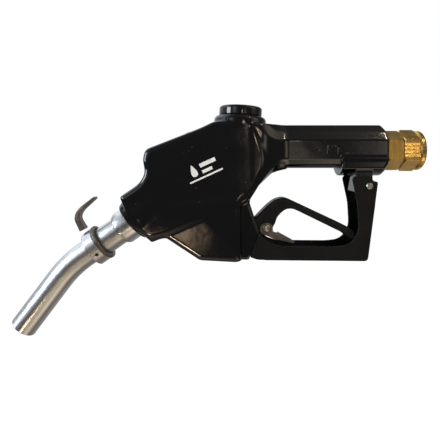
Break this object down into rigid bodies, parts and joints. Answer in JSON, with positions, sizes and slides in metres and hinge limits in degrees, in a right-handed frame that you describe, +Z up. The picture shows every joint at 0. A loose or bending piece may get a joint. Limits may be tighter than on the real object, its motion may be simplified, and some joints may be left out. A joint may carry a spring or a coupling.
{
  "type": "automatic fuel nozzle",
  "caption": "Automatic shut-off fuel nozzle with bent metal spout, hook ring, lever under a closed hand guard, hold-open clip and brass hose swivel.",
  "frame": {"origin": "centre of the hose end of the swivel nut, on the swivel axis", "axes": "+X out of the hose end along the handle, +Z up towards the poppet cap, +Y away from the side that carries the hold-open clip"},
  "size_m": [0.4763, 0.062, 0.2685],
  "materials": {
    "gloss_black_casting": "gloss black coating over cast aluminium, fine dust specks",
    "matte_black_guard": "fine-grained matte black coating over formed aluminium",
    "matte_black_metal": "semi-matte black coating over cast aluminium",
    "satin_aluminium": "drawn and polished aluminium",
    "steel": "satin steel",
    "spring_steel": "bright spring wire",
    "zinc_steel": "zinc-plated steel",
    "plated_clip_steel": "dull pewter-plated sheet steel",
    "brass": "machined brass",
    "seal_rubber": "matte black rubber",
    "white_plastic": "white acetal"
  },
  "bodies": {
    "casing": {"body_casting": "gloss_black_casting", "poppet_cap": "gloss_black_casting", "cap_oring": "seal_rubber", "poppet_spring": "spring_steel", "valve_seat": "brass", "stem_packing": "seal_rubber", "stem_gland": "brass", "diaphragm_cover": "gloss_black_casting", "cover_screw_1": "zinc_steel", "cover_screw_2": "zinc_steel", "cover_screw_3": "zinc_steel", "cover_screw_4": "zinc_steel", "diaphragm": "seal_rubber", "diaphragm_spring": "spring_steel", "plunger_spring": "spring_steel", "check_seat": "brass", "check_guide": "brass", "check_spring": "spring_steel", "spout_tube": "satin_aluminium", "spout_collar": "satin_aluminium", "spout_oring": "seal_rubber", "spout_lock_screw": "steel", "vent_tube": "steel", "hook_ring": "steel", "hook_set_screw": "steel", "hook_strap": "steel", "lever_guard": "matte_black_guard", "guard_front_pin": "steel", "guard_screw": "zinc_steel", "guard_nut": "zinc_steel", "hold_open_rack": "steel", "swivel_adapter": "brass", "swivel_oring": "seal_rubber", "swivel_retainer": "spring_steel", "inlet_strainer": "steel"},
    "poppet": {"main_poppet": "brass", "poppet_seal": "seal_rubber", "poppet_stem": "steel"},
    "diaphragm_pin": {"latch_pin": "steel"},
    "plunger": {"latch_plunger": "steel", "latch_ball_1": "spring_steel", "latch_ball_2": "spring_steel", "latch_ball_3": "spring_steel", "fulcrum_pin": "steel"},
    "trigger": {"lever": "matte_black_metal", "clip_rivet": "zinc_steel"},
    "clip": {"hold_open_clip": "plated_clip_steel"},
    "check_valve": {"check_poppet": "white_plastic"},
    "swivel": {"swivel_nut": "brass"}
  },
  "joints": [
    {"name": "latch_drop", "type": "slide", "parent": "casing", "child": "plunger", "axis": [0.39, 0, -0.9208], "range_m": [0, 0.006], "stiffness_N_per_m": 2500, "springref_m": -0.008, "deforming": ["plunger_spring"]},
    {"name": "lever_pivot", "type": "hinge", "parent": "plunger", "child": "trigger", "pos_m": [-0.229, 0, -0.112], "axis": [0, -1, 0], "range_deg": [0, 18], "stiffness_Nm_per_rad": 1.2, "springref_deg": -22.92},
    {"name": "clip_pivot", "type": "hinge", "parent": "trigger", "child": "clip", "pos_m": [-0.1804, 0, -0.0896], "axis": [0, 1, 0], "range_deg": [-20, 8]},
    {"name": "poppet_lift", "type": "slide", "parent": "casing", "child": "poppet", "axis": [0.0523, 0, 0.9986], "range_m": [0, 0.0056], "deforming": ["poppet_spring"]},
    {"name": "diaphragm_pin_lift", "type": "slide", "parent": "casing", "child": "diaphragm_pin", "axis": [-0.39, 0, 0.9208], "range_m": [0, 0.0025], "stiffness_N_per_m": 400, "springref_m": -0.004, "deforming": ["diaphragm", "diaphragm_spring"]},
    {"name": "check_valve_open", "type": "slide", "parent": "casing", "child": "check_valve", "axis": [-0.8192, 0, -0.5736], "range_m": [0, 0.006], "stiffness_N_per_m": 200, "springref_m": -0.005, "deforming": ["check_spring"]},
    {"name": "swivel_spin", "type": "hinge", "parent": "casing", "child": "swivel", "pos_m": [0, 0, 0], "axis": [1, 0, 0], "continuous": true}
  ],
  "couplings": [
    {"joint": "poppet_lift", "follows": "lever_pivot", "m_per_rad": 0.0178}
  ]
}
